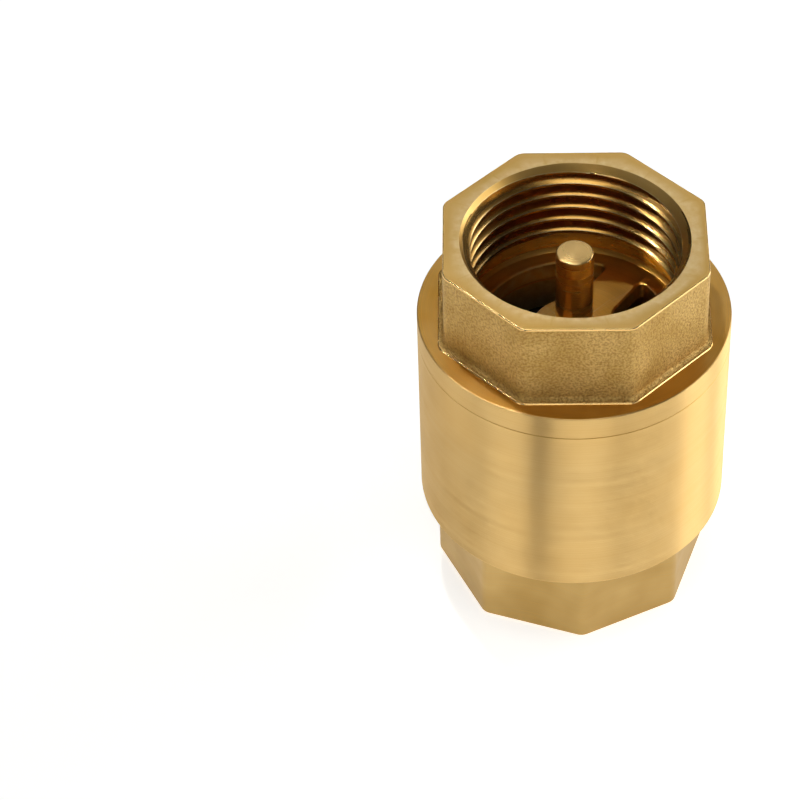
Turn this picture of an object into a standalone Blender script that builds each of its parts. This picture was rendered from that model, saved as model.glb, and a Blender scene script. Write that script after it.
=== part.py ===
"""In-line spring check valve in brass, G1 female threads at both ends.

Frame: metres, origin at the centre of the outlet end face, +Z along the axis to the inlet end.
Flow runs down the axis, from the inlet at the top to the outlet at the bottom. The poppet
(disc, stem, gasket, retainer, washer and nut) slides down on two guide hubs to open.
"""
import math

import bpy
import bmesh

# Driving dimensions, in metres ---------------------------------------------------------
GAP = 0.0003                       # room kept between pieces that touch

TOTAL_LENGTH = 0.063
OUTLET_OCTAGON_HEIGHT = 0.0144
INLET_OCTAGON_HEIGHT = 0.0138
BARREL_RADIUS = 0.023
RIM_HEIGHT = 0.0038                # the end cap's rim, which continues the barrel
ACROSS_FLATS = 0.038
CORNER_ROUNDING = 0.002
OUTLET_OCTAGON_TURN = math.radians(26.4)

PITCH = 0.0254 / 11                # G1: 11 threads per inch
THREAD_MAJOR = 0.03325 / 2
THREAD_MINOR = 0.03029 / 2
MOUTH_RADIUS = 0.0169
INLET_THREAD_TURNS = 6
OUTLET_THREAD_TURNS = 5
SOCKET_END_RADIUS = 0.0163
RELIEF_CHAMFER = MOUTH_RADIUS - SOCKET_END_RADIUS

INLET_WEB_TOP = TOTAL_LENGTH - 0.0172
INLET_WEB_THICKNESS = 0.003
OUTLET_WEB_BOTTOM = 0.014
OUTLET_WEB_THICKNESS = 0.0032
WINDOW_RADIUS = 0.014
HUB_RADIUS = 0.0062
INLET_ARM_WIDTH = 0.006
OUTLET_ARM_WIDTH = 0.005
INLET_ARM_TURN = math.radians(55.4)
OUTLET_ARM_TURN = OUTLET_OCTAGON_TURN

STEM_RADIUS = 0.00275
GUIDE_HOLE_RADIUS = 0.0031
STEM_TOP = TOTAL_LENGTH - 0.0026
STEM_BOTTOM = OUTLET_WEB_BOTTOM - 0.0006
STEM_THREAD_RADIUS = 0.0025        # M5

CHAMBER_RADIUS = 0.0195
JOINT_THREAD_RADIUS = 0.0205       # M41 x 1.5 between the body and the end cap
PASSAGE_RADIUS = 0.0144
SEAT = 0.0366                      # height of the seat lip
LIP_HEIGHT = 0.0004
LIP_WIDTH = 0.0016

O_RING_SECTION = 0.0009            # radius of its round section
O_RING_NECK = 0.0188
O_RING_MIDDLE = 0.0439

GASKET_RADIUS = 0.0162
GASKET_THICKNESS = 0.0025
DISC_RADIUS = 0.0165
DISC_THICKNESS = 0.0029
DISC_BOSS_RADIUS = 0.0039
SPRING_BOSS_RADIUS = 0.0056
SPRING_BOSS_HEIGHT = 0.0026
SCREW_HOLE_REACH = 0.0014          # how far the screw hole goes past the disc
RETAINER_RADIUS = 0.011
RETAINER_THICKNESS = 0.0015
WASHER_RADIUS = 0.0046
WASHER_THICKNESS = 0.001
WASHER_SLIT = 0.0006
NUT_ACROSS_FLATS = 0.008
NUT_HEIGHT = 0.0027

SPRING_RADIUS = 0.0075             # to the middle of the wire
WIRE_RADIUS = 0.00045
ACTIVE_TURNS = 4
END_TURN_RISE = 0.001              # each closed end turn climbs this much
SPRING_GUIDE_HEIGHT = 0.0018       # boss of the outlet hub inside the spring

EDGE = 0.0005                      # chamfer on the outer edges
FINE_EDGE = 0.0003                 # chamfer on small pieces
SPIGOT_EDGE = 0.0008               # lead-in chamfer of the screwed spigot
HOLE_EDGE = 0.0004                 # chamfer at the mouth of a guide hole

CUT_OVERRUN = 0.0006               # how far a window's helper passes the web
HOLE_OVERRUN = 0.004               # and a guide hole's, through the hub
MERGE_DISTANCE = 1e-6

LARGE_FACETS = 48                  # sides of a round shape, by its size
MIDDLE_FACETS = 32
SMALL_FACETS = 24

# Heights that follow from them ---------------------------------------------------------
CAP_SHOULDER = TOTAL_LENGTH - INLET_OCTAGON_HEIGHT
CAP_UNDERSIDE = CAP_SHOULDER - RIM_HEIGHT
BODY_TOP = CAP_UNDERSIDE - GAP
INLET_WEB_BOTTOM = INLET_WEB_TOP - INLET_WEB_THICKNESS
OUTLET_WEB_TOP = OUTLET_WEB_BOTTOM + OUTLET_WEB_THICKNESS
SPRING_GUIDE_TOP = OUTLET_WEB_TOP + SPRING_GUIDE_HEIGHT
SPRING_GUIDE_RADIUS = HUB_RADIUS - GAP
O_RING_RADIUS = O_RING_NECK + GAP + O_RING_SECTION
O_RING_BORE = O_RING_RADIUS + O_RING_SECTION + GAP
O_RING_FLOOR = O_RING_MIDDLE - O_RING_SECTION - GAP
SPIGOT_RADIUS = JOINT_THREAD_RADIUS - GAP
SPIGOT_END = SEAT + LIP_HEIGHT
GASKET_TOP = SEAT - GAP
GASKET_BOTTOM = GASKET_TOP - GASKET_THICKNESS
DISC_TOP = GASKET_BOTTOM - GAP
DISC_BOTTOM = DISC_TOP - DISC_THICKNESS
RETAINER_BOTTOM = GASKET_TOP + GAP
WASHER_BOTTOM = RETAINER_BOTTOM + RETAINER_THICKNESS + GAP
NUT_BOTTOM = WASHER_BOTTOM + WASHER_THICKNESS + GAP
NUT_TOP = NUT_BOTTOM + NUT_HEIGHT
STEM_SHOULDER = NUT_TOP + FINE_EDGE
SCREW_HOLE_RADIUS = STEM_THREAD_RADIUS + GAP
SCREW_HOLE_BOTTOM = DISC_BOTTOM - SCREW_HOLE_REACH

BRASS_TURNED = (0.80, 0.62, 0.32)
BRASS_BLASTED = (0.66, 0.47, 0.22)
BRASS_ROD = (0.78, 0.63, 0.36)
BLACK_RUBBER = (0.03, 0.03, 0.03)
STAINLESS = (0.62, 0.61, 0.59)


# Shapes --------------------------------------------------------------------------------
def round_reach(radius):
    """Reach of a circle: the same at every angle."""
    return lambda angle: radius


def polygon_reach(sides, flat, rounding=0.0):
    """Reach of a regular polygon with rounded corners; a flat faces angle 0."""
    half_side = math.pi / sides
    corner_centre = (flat - rounding) / math.cos(half_side)
    flat_ends = math.atan((flat - rounding) * math.tan(half_side) / flat)

    def reach(angle):
        from_flat = abs((angle + half_side) % (2 * half_side) - half_side)
        if from_flat <= flat_ends or rounding == 0.0:
            return flat / math.cos(from_flat)
        from_corner = half_side - from_flat
        across = corner_centre * math.sin(from_corner)
        return corner_centre * math.cos(from_corner) + math.sqrt(rounding ** 2 - across ** 2)

    return reach


def octagon(inset=0.0):
    """Reach of the wrench octagon, drawn in by inset."""
    return polygon_reach(8, ACROSS_FLATS / 2 - inset, CORNER_ROUNDING)


def ring(reach, height, segments, turn=0.0):
    """One row of points round the axis; the last point repeats the first."""
    row = []
    for i in range(segments + 1):
        angle = 2 * math.pi * (i % segments) / segments
        radius = reach(angle)
        row.append((radius * math.cos(angle + turn), radius * math.sin(angle + turn), height))
    return row


def thread_rows(low, high, mouth, segments, turn=0.0):
    """Rows of a right-hand internal thread between two heights.

    Each row climbs one pitch in a turn, so its end meets the start of the row one pitch up.
    Rows alternate between root and crest. At the mouth the thread runs out in a chamfer, and
    at its other end in a relief of the same radius.
    """
    turns = round((high - low) / PITCH)
    rows = []
    for k in range(-2, 2 * turns + 1):
        thread_radius = THREAD_MAJOR if k % 2 == 0 else THREAD_MINOR
        row = []
        for i in range(segments + 1):
            height = low + PITCH * (k / 2 + i / segments)
            height = min(max(height, low), high)
            chamfer_radius = MOUTH_RADIUS - abs(mouth - height)
            at_an_end = min(height - low, high - height) < MERGE_DISTANCE
            relief = MOUTH_RADIUS if at_an_end else 0.0
            radius = max(thread_radius, chamfer_radius, relief)
            angle = 2 * math.pi * i / segments + turn
            row.append((radius * math.cos(angle), radius * math.sin(angle), height))
        rows.append(row)
    return rows


def skin(name, rows, closed=False):
    """Cover a chain of rows with faces; matching points merge, and a row on the axis is a tip."""
    shape = bmesh.new()
    made = [[shape.verts.new(point) for point in row] for row in rows]
    following = made[1:] + made[:1] if closed else made[1:]
    for row, upper in zip(made, following):
        for i in range(len(row) - 1):
            shape.faces.new((row[i], row[i + 1], upper[i + 1], upper[i]))
    bmesh.ops.remove_doubles(shape, verts=shape.verts, dist=MERGE_DISTANCE)
    bmesh.ops.recalc_face_normals(shape, faces=shape.faces)
    mesh = bpy.data.meshes.new(name)
    shape.to_mesh(mesh)
    shape.free()
    mesh.shade_smooth()
    mesh.set_sharp_from_angle(angle=math.radians(25))
    return mesh


def turned(name, profile, segments, turn=0.0, closed=False):
    """Mesh turned about the axis from (radius or reach, height) pairs."""
    rows = []
    for reach, height in profile:
        shape = reach if callable(reach) else round_reach(reach)
        rows.append(ring(shape, height, segments, turn))
    return skin(name, rows, closed)


def place(name, data, parent, material):
    """Link an object for a piece, under its body's empty."""
    piece = bpy.data.objects.new(name, data)
    bpy.context.scene.collection.objects.link(piece)
    piece.parent = parent
    data.materials.append(material)
    return piece


def cutter(name, data):
    """Link a hidden helper that only cuts other pieces."""
    tool = bpy.data.objects.new(name, data)
    bpy.context.scene.collection.objects.link(tool)
    tool.hide_render = True
    tool.display_type = 'WIRE'
    return tool


def cut(piece, tool):
    """Subtract a helper from a piece."""
    boolean = piece.modifiers.new(tool.name, 'BOOLEAN')
    boolean.operation = 'DIFFERENCE'
    boolean.solver = 'EXACT'
    boolean.object = tool


def arc(radius, start, end, steps):
    """Points along an arc, both ends included."""
    points = []
    for i in range(steps + 1):
        angle = start + (end - start) * i / steps
        points.append((radius * math.cos(angle), radius * math.sin(angle)))
    return points


def window_mesh(name, arm_width, turn, low, high):
    """Prism that fills one window: between the hub, both arms and the outer circle.

    It is drawn on the +Y side of arms that run along X, then turned with them.
    """
    outer_start = math.asin(arm_width / 2 / WINDOW_RADIUS)
    inner_start = math.asin(arm_width / 2 / HUB_RADIUS)
    outer_steps, inner_steps = 14, 8
    outline = arc(WINDOW_RADIUS, outer_start, math.pi - outer_start, outer_steps)
    outline += arc(HUB_RADIUS, math.pi - inner_start, inner_start, inner_steps)
    shape = bmesh.new()
    base = []
    for x, y in outline:
        across = x * math.cos(turn) - y * math.sin(turn)
        along = x * math.sin(turn) + y * math.cos(turn)
        base.append(shape.verts.new((across, along, low)))
    face = shape.faces.new(base)
    grown = bmesh.ops.extrude_face_region(shape, geom=[face])
    top = [item for item in grown["geom"] if isinstance(item, bmesh.types.BMVert)]
    bmesh.ops.translate(shape, verts=top, vec=(0, 0, high - low))
    bmesh.ops.recalc_face_normals(shape, faces=shape.faces)
    mesh = bpy.data.meshes.new(name)
    shape.to_mesh(mesh)
    shape.free()
    return mesh


def cut_spider(piece, label, arm_width, turn, low, high, hole_mouth):
    """Open a solid web into a hub on two arms, with a guide hole chamfered on one side."""
    for side in range(2):
        name = f"{label}_window_{side + 1}"
        mesh = window_mesh(name, arm_width, turn + side * math.pi,
                           low - CUT_OVERRUN, high + CUT_OVERRUN)
        cut(piece, cutter(name, mesh))
    away = math.copysign(1, hole_mouth - (low + high) / 2)
    far_end = low - HOLE_OVERRUN if away > 0 else high + HOLE_OVERRUN
    cone_height = 0.001
    profile = [
        (0.0, hole_mouth + away * cone_height),
        (GUIDE_HOLE_RADIUS + HOLE_EDGE + cone_height, hole_mouth + away * cone_height),
        (GUIDE_HOLE_RADIUS, hole_mouth - away * HOLE_EDGE),
        (GUIDE_HOLE_RADIUS, far_end),
        (0.0, far_end),
    ]
    name = f"{label}_guide_hole"
    cut(piece, cutter(name, turned(name, profile, SMALL_FACETS)))


# Materials -----------------------------------------------------------------------------
def finish(name, colour, roughness, metallic):
    """Plain Principled material for one piece."""
    material = bpy.data.materials.new(name)
    material.use_nodes = True
    shader = material.node_tree.nodes["Principled BSDF"]
    shader.inputs["Base Color"].default_value = (*colour, 1.0)
    shader.inputs["Roughness"].default_value = roughness
    shader.inputs["Metallic"].default_value = metallic
    return material


# Pieces --------------------------------------------------------------------------------
def valve_body(parent):
    """Outlet octagon with its thread, barrel, spring chamber and the outlet spider."""
    relief_end = OUTLET_THREAD_TURNS * PITCH
    threads = thread_rows(0.0, relief_end, 0.0, LARGE_FACETS, OUTLET_OCTAGON_TURN)
    threads.reverse()
    outside = [
        (octagon(EDGE), 0.0),
        (octagon(), EDGE),
        (octagon(), OUTLET_OCTAGON_HEIGHT),
        (BARREL_RADIUS - EDGE, OUTLET_OCTAGON_HEIGHT),
        (BARREL_RADIUS, OUTLET_OCTAGON_HEIGHT + EDGE),
        (BARREL_RADIUS, BODY_TOP - FINE_EDGE),
        (BARREL_RADIUS - FINE_EDGE, BODY_TOP),
    ]
    chamber_floor = OUTLET_WEB_TOP + CHAMBER_RADIUS - WINDOW_RADIUS - 2 * FINE_EDGE
    inside = [
        (O_RING_BORE, BODY_TOP),
        (O_RING_BORE, O_RING_FLOOR),
        (JOINT_THREAD_RADIUS, O_RING_FLOOR),
        (JOINT_THREAD_RADIUS, GASKET_TOP),
        (CHAMBER_RADIUS, GASKET_TOP - (JOINT_THREAD_RADIUS - CHAMBER_RADIUS)),
        (CHAMBER_RADIUS, chamber_floor),
        (WINDOW_RADIUS + 2 * FINE_EDGE, OUTLET_WEB_TOP),
        (SPRING_GUIDE_RADIUS, OUTLET_WEB_TOP),
        (SPRING_GUIDE_RADIUS, SPRING_GUIDE_TOP - FINE_EDGE),
        (SPRING_GUIDE_RADIUS - FINE_EDGE, SPRING_GUIDE_TOP),
        (0.0, SPRING_GUIDE_TOP),
    ]
    socket = [
        (0.0, OUTLET_WEB_BOTTOM),
        (SOCKET_END_RADIUS, OUTLET_WEB_BOTTOM),
        (MOUTH_RADIUS, OUTLET_WEB_BOTTOM - RELIEF_CHAMFER),
    ]
    rows = [ring(round_reach(r), z, LARGE_FACETS, OUTLET_OCTAGON_TURN) for r, z in socket]
    rows += threads
    for reach, height in outside + inside:
        shape = reach if callable(reach) else round_reach(reach)
        rows.append(ring(shape, height, LARGE_FACETS, OUTLET_OCTAGON_TURN))
    mesh = skin("valve_body", rows)
    piece = place("valve_body", mesh, parent, finish("body_brass", BRASS_TURNED, 0.3, 1.0))
    cut_spider(piece, "outlet", OUTLET_ARM_WIDTH, OUTLET_ARM_TURN,
               OUTLET_WEB_BOTTOM, OUTLET_WEB_TOP, OUTLET_WEB_BOTTOM)


def end_cap(parent):
    """Inlet octagon with its thread, the rim, the screwed spigot with the seat, and a spider."""
    thread_start = TOTAL_LENGTH - INLET_THREAD_TURNS * PITCH
    socket = [
        (0.0, INLET_WEB_TOP),
        (SOCKET_END_RADIUS, INLET_WEB_TOP),
        (MOUTH_RADIUS, INLET_WEB_TOP + RELIEF_CHAMFER),
    ]
    outside = [
        (octagon(EDGE), TOTAL_LENGTH),
        (octagon(), TOTAL_LENGTH - EDGE),
        (octagon(), CAP_SHOULDER + EDGE),
        (octagon(-EDGE), CAP_SHOULDER),
        (BARREL_RADIUS - EDGE, CAP_SHOULDER),
        (BARREL_RADIUS, CAP_SHOULDER - EDGE),
        (BARREL_RADIUS, CAP_UNDERSIDE + FINE_EDGE),
        (BARREL_RADIUS - FINE_EDGE, CAP_UNDERSIDE),
    ]
    inside = [
        (O_RING_NECK, CAP_UNDERSIDE),
        (O_RING_NECK, O_RING_FLOOR),
        (SPIGOT_RADIUS, O_RING_FLOOR - GAP),
        (SPIGOT_RADIUS, SPIGOT_END + SPIGOT_EDGE),
        (SPIGOT_RADIUS - SPIGOT_EDGE, SPIGOT_END),
        (PASSAGE_RADIUS + LIP_WIDTH + LIP_HEIGHT, SPIGOT_END),
        (PASSAGE_RADIUS + LIP_WIDTH, SEAT),
        (PASSAGE_RADIUS + LIP_HEIGHT, SEAT),
        (PASSAGE_RADIUS, SPIGOT_END),
        (PASSAGE_RADIUS, INLET_WEB_BOTTOM),
        (0.0, INLET_WEB_BOTTOM),
    ]
    rows = [ring(round_reach(r), z, LARGE_FACETS) for r, z in socket]
    rows += thread_rows(thread_start, TOTAL_LENGTH, TOTAL_LENGTH, LARGE_FACETS)
    for reach, height in outside + inside:
        shape = reach if callable(reach) else round_reach(reach)
        rows.append(ring(shape, height, LARGE_FACETS))
    mesh = skin("end_cap", rows)
    piece = place("end_cap", mesh, parent, finish("cap_brass", BRASS_BLASTED, 0.42, 1.0))
    cut_spider(piece, "inlet", INLET_ARM_WIDTH, INLET_ARM_TURN,
               INLET_WEB_BOTTOM, INLET_WEB_TOP, INLET_WEB_TOP)


def cap_o_ring(parent):
    """Ring that seals the joint between the body and the end cap."""
    profile = []
    section_points = 8
    for i in range(section_points):
        angle = 2 * math.pi * i / section_points
        profile.append((O_RING_RADIUS + O_RING_SECTION * math.cos(angle),
                        O_RING_MIDDLE + O_RING_SECTION * math.sin(angle)))
    mesh = turned("cap_o_ring", profile, LARGE_FACETS, closed=True)
    place("cap_o_ring", mesh, parent, finish("o_ring_rubber", BLACK_RUBBER, 0.6, 0.0))


def return_spring(parent):
    """Compression spring with closed ends, between the outlet spider and the disc."""
    low = OUTLET_WEB_TOP + GAP + WIRE_RADIUS
    high = DISC_BOTTOM - GAP - WIRE_RADIUS
    active_rise = (high - low - 2 * END_TURN_RISE) / ACTIVE_TURNS
    points_per_turn = 20
    total_turns = ACTIVE_TURNS + 2
    wire = bpy.data.curves.new("return_spring", 'CURVE')
    wire.dimensions = '3D'
    wire.bevel_depth = WIRE_RADIUS
    wire.bevel_resolution = 1
    wire.use_fill_caps = True
    spline = wire.splines.new('POLY')
    spline.points.add(total_turns * points_per_turn)
    for i, point in enumerate(spline.points):
        turns = i / points_per_turn
        rise = END_TURN_RISE * min(turns, 1.0)
        rise += active_rise * min(max(turns - 1.0, 0.0), ACTIVE_TURNS)
        rise += END_TURN_RISE * max(turns - 1.0 - ACTIVE_TURNS, 0.0)
        angle = 2 * math.pi * turns
        point.co = (SPRING_RADIUS * math.cos(angle), SPRING_RADIUS * math.sin(angle),
                    low + rise, 1.0)
    place("return_spring", wire, parent, finish("spring_steel", STAINLESS, 0.3, 1.0))


def poppet_disc(parent):
    """Disc that backs the gasket, with its lower guide stem and a screw hole for the upper one."""
    spring_boss = DISC_BOTTOM - SPRING_BOSS_HEIGHT
    profile = [
        (0.0, SCREW_HOLE_BOTTOM),
        (SCREW_HOLE_RADIUS, SCREW_HOLE_BOTTOM),
        (SCREW_HOLE_RADIUS, GASKET_TOP),
        (DISC_BOSS_RADIUS, GASKET_TOP),
        (DISC_BOSS_RADIUS, DISC_TOP),
        (DISC_RADIUS - FINE_EDGE, DISC_TOP),
        (DISC_RADIUS, DISC_TOP - FINE_EDGE),
        (DISC_RADIUS, DISC_BOTTOM + FINE_EDGE),
        (DISC_RADIUS - FINE_EDGE, DISC_BOTTOM),
        (SPRING_BOSS_RADIUS, DISC_BOTTOM),
        (SPRING_BOSS_RADIUS, spring_boss + FINE_EDGE),
        (SPRING_BOSS_RADIUS - FINE_EDGE, spring_boss),
        (STEM_RADIUS, spring_boss),
        (STEM_RADIUS, STEM_BOTTOM + FINE_EDGE),
        (STEM_RADIUS - FINE_EDGE, STEM_BOTTOM),
        (0.0, STEM_BOTTOM),
    ]
    mesh = turned("poppet_disc", profile, MIDDLE_FACETS)
    place("poppet_disc", mesh, parent, finish("disc_brass", BRASS_ROD, 0.3, 1.0))


def guide_stem(parent):
    """Upper guide rod; its thin lower end screws through the nut and retainer into the disc."""
    profile = [
        (0.0, SCREW_HOLE_BOTTOM + GAP),
        (STEM_THREAD_RADIUS - FINE_EDGE, SCREW_HOLE_BOTTOM + GAP),
        (STEM_THREAD_RADIUS, SCREW_HOLE_BOTTOM + GAP + FINE_EDGE),
        (STEM_THREAD_RADIUS, STEM_SHOULDER),
        (STEM_RADIUS, STEM_SHOULDER),
        (STEM_RADIUS, STEM_TOP - FINE_EDGE),
        (STEM_RADIUS - FINE_EDGE, STEM_TOP),
        (0.0, STEM_TOP),
    ]
    mesh = turned("guide_stem", profile, SMALL_FACETS)
    place("guide_stem", mesh, parent, finish("stem_brass", BRASS_ROD, 0.28, 1.0))


def flat_ring(name, parent, inner, outer, low, high, segments, material):
    """Washer-like ring with chamfered outer edges."""
    profile = [
        (inner, low),
        (inner, high),
        (outer - FINE_EDGE, high),
        (outer, high - FINE_EDGE),
        (outer, low + FINE_EDGE),
        (outer - FINE_EDGE, low),
    ]
    return place(name, turned(name, profile, segments, closed=True), parent, material)


def seat_gasket(parent):
    """Rubber ring that closes against the seat lip."""
    flat_ring("seat_gasket", parent, DISC_BOSS_RADIUS + GAP, GASKET_RADIUS, GASKET_BOTTOM,
              GASKET_TOP, LARGE_FACETS, finish("gasket_rubber", BLACK_RUBBER, 0.7, 0.0))


def gasket_retainer(parent):
    """Brass washer that clamps the gasket to the disc."""
    flat_ring("gasket_retainer", parent, SCREW_HOLE_RADIUS, RETAINER_RADIUS, RETAINER_BOTTOM,
              RETAINER_BOTTOM + RETAINER_THICKNESS, MIDDLE_FACETS,
              finish("retainer_brass", BRASS_ROD, 0.3, 1.0))


def lock_washer(parent):
    """Split spring washer under the nut."""
    top = WASHER_BOTTOM + WASHER_THICKNESS
    piece = flat_ring("lock_washer", parent, SCREW_HOLE_RADIUS, WASHER_RADIUS, WASHER_BOTTOM,
                      top, SMALL_FACETS, finish("washer_steel", STAINLESS, 0.35, 1.0))
    slit = bmesh.new()
    bmesh.ops.create_cube(slit, size=1.0)
    reach = 4 * WASHER_THICKNESS
    bmesh.ops.scale(slit, vec=(reach, WASHER_SLIT, reach), verts=slit.verts)
    middle = ((SCREW_HOLE_RADIUS + WASHER_RADIUS) / 2, 0.0, (WASHER_BOTTOM + top) / 2)
    bmesh.ops.translate(slit, vec=middle, verts=slit.verts)
    mesh = bpy.data.meshes.new("washer_slit")
    slit.to_mesh(mesh)
    slit.free()
    cut(piece, cutter("washer_slit", mesh))


def lock_nut(parent):
    """Thin hexagon nut that locks the stem."""
    hexagon = polygon_reach(6, NUT_ACROSS_FLATS / 2)
    corner_circle = NUT_ACROSS_FLATS / 2
    profile = [
        (SCREW_HOLE_RADIUS, NUT_BOTTOM),
        (SCREW_HOLE_RADIUS, NUT_TOP),
        (corner_circle - FINE_EDGE, NUT_TOP),
        (hexagon, NUT_TOP - FINE_EDGE),
        (hexagon, NUT_BOTTOM + FINE_EDGE),
        (corner_circle - FINE_EDGE, NUT_BOTTOM),
    ]
    mesh = turned("lock_nut", profile, SMALL_FACETS, closed=True)
    place("lock_nut", mesh, parent, finish("nut_steel", STAINLESS, 0.3, 1.0))


def build():
    """Clear the scene and build every piece under the empty of its body."""
    for item in list(bpy.data.objects):
        bpy.data.objects.remove(item, do_unlink=True)
    bodies = {}
    for name in ("valve", "poppet"):
        bodies[name] = bpy.data.objects.new(name, None)
        bpy.context.scene.collection.objects.link(bodies[name])
    for make in (valve_body, end_cap, cap_o_ring, return_spring):
        make(bodies["valve"])
    for make in (poppet_disc, guide_stem, seat_gasket, gasket_retainer, lock_washer, lock_nut):
        make(bodies["poppet"])


build()
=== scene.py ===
"""Looks of a brass in-line spring check valve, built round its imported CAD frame."""
import math
import bmesh
import bpy
import numpy as np
from mathutils import Matrix, Vector


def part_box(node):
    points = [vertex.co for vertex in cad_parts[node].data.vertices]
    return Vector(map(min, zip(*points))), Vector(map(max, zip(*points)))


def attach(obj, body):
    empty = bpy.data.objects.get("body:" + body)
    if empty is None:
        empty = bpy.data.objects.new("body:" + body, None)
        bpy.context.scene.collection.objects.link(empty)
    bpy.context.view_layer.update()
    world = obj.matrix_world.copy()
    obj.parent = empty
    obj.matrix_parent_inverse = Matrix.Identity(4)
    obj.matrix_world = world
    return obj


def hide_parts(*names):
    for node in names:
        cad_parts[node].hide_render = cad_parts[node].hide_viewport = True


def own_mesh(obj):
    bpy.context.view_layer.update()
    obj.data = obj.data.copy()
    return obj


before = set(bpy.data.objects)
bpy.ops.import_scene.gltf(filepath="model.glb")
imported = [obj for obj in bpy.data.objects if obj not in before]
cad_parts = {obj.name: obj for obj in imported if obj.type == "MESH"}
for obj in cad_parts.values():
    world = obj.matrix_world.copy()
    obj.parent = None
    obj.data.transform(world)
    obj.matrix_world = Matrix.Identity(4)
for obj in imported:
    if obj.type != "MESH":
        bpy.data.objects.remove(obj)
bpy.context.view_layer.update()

MM = 0.001

# Places, read from the frame -----------------------------------------------------------
DISC_LOW, DISC_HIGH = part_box("poppet_disc")
STEM_LOW, STEM_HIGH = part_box("guide_stem")
GASKET_LOW, GASKET_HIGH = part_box("seat_gasket")
WASHER_LOW, WASHER_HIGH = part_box("lock_washer")
NUT_LOW, NUT_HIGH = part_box("lock_nut")
RING_LOW, RING_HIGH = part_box("cap_o_ring")
SPRING_LOW, SPRING_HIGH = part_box("return_spring")

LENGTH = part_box("end_cap")[1].z

# Sizes that the frame's boxes do not tell, as in the CAD model ---------------------------
CORNER_ROUNDING = 2 * MM
OUTLET_FOOT = 14.4 * MM
CAP_FOOT = 49.2 * MM
CAP_UNDERSIDE = 45.4 * MM
OUTLET_TURN = math.radians(26.4)
INCH = 25.4 * MM
PITCH = INCH / 11
OUTLET_TURNS = 5
INLET_TURNS = 6
THREAD_MAJOR = 33.25 / 2 * MM
THREAD_MINOR = 30.29 / 2 * MM
MOUTH_RADIUS = 16.63 * MM
MOUTH_STEEPNESS = 0.85
RELIEF_RADIUS = 16.9 * MM
INLET_WEB = (LENGTH - 20.2 * MM, LENGTH - 17.2 * MM)
OUTLET_WEB = (14.0 * MM, 17.2 * MM)
WINDOW_RADIUS = 14 * MM
HUB_RADIUS = 6.2 * MM
GUIDE_HOLE_RADIUS = 3.1 * MM
INLET_ARM = (6.0 * MM, math.radians(55.4))
OUTLET_ARM = (5.0 * MM, OUTLET_TURN)
COIL_RADIUS = 7.5 * MM
WIRE_RADIUS = 0.45 * MM
SCREW_HOLE_RADIUS = 2.8 * MM

# Sizes in millimetres, for the profiles ---------------------------------------------------
OUTER_RADIUS = 23.0
FLAT_REACH = 19.0
SOCKET_END_RADIUS = 16.3
RING_SEAT_RADIUS = 21.2
RING_GROOVE_RADIUS = 18.8
JOINT_RADIUS = 20.5
SPIGOT_RADIUS = 20.2
CHAMBER_RADIUS = 19.5
PASSAGE_RADIUS = 14.4
BOSS_RADIUS = 5.9
DISC_RADIUS = 16.5
DISC_NECK_RADIUS = 3.9
DISC_CUP_RADIUS = 5.6
SPINDLE_RADIUS = 2.75
SCREW_RADIUS = 2.5

# Room between neighbouring pieces
ROOM = 0.3 * MM

# Mesh fineness: columns round the axis, rows across one pitch of thread -------------------
COLUMNS = 384
THREAD_ROWS = 14


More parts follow.
